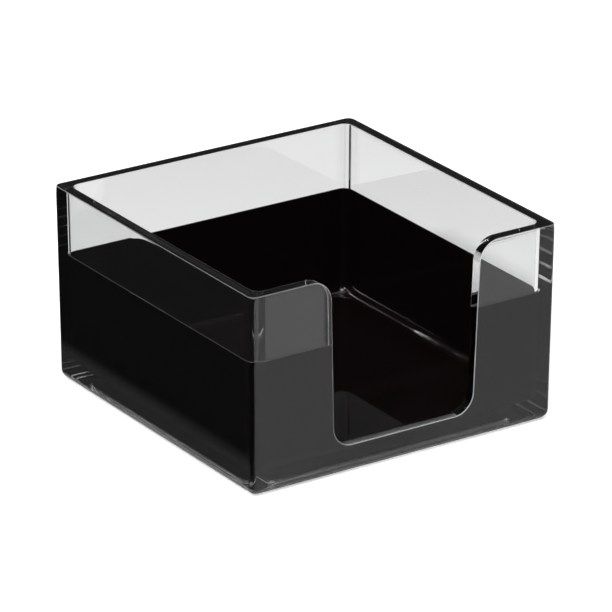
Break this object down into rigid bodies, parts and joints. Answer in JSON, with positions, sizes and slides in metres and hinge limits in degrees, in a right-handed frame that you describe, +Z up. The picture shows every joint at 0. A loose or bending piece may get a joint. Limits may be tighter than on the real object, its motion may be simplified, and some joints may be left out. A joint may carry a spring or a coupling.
{
  "type": "napkin dispenser",
  "caption": "Square open-topped countertop box of thick clear plastic for a stack of folded napkins, with a reach-in notch in front and a black lining.",
  "frame": {"origin": "centre of the underside, on the surface the box stands on", "axes": "+Z up; -Y towards the person who takes a napkin, through the wall with the notch; +X to that person's right"},
  "size_m": [0.14, 0.142, 0.082],
  "materials": {
    "clear_acrylic": "clear, polished",
    "black_acrylic": "gloss"
  },
  "bodies": {
    "root": {"clear_shell": "clear_acrylic", "black_liner": "black_acrylic"}
  },
  "joints": []
}
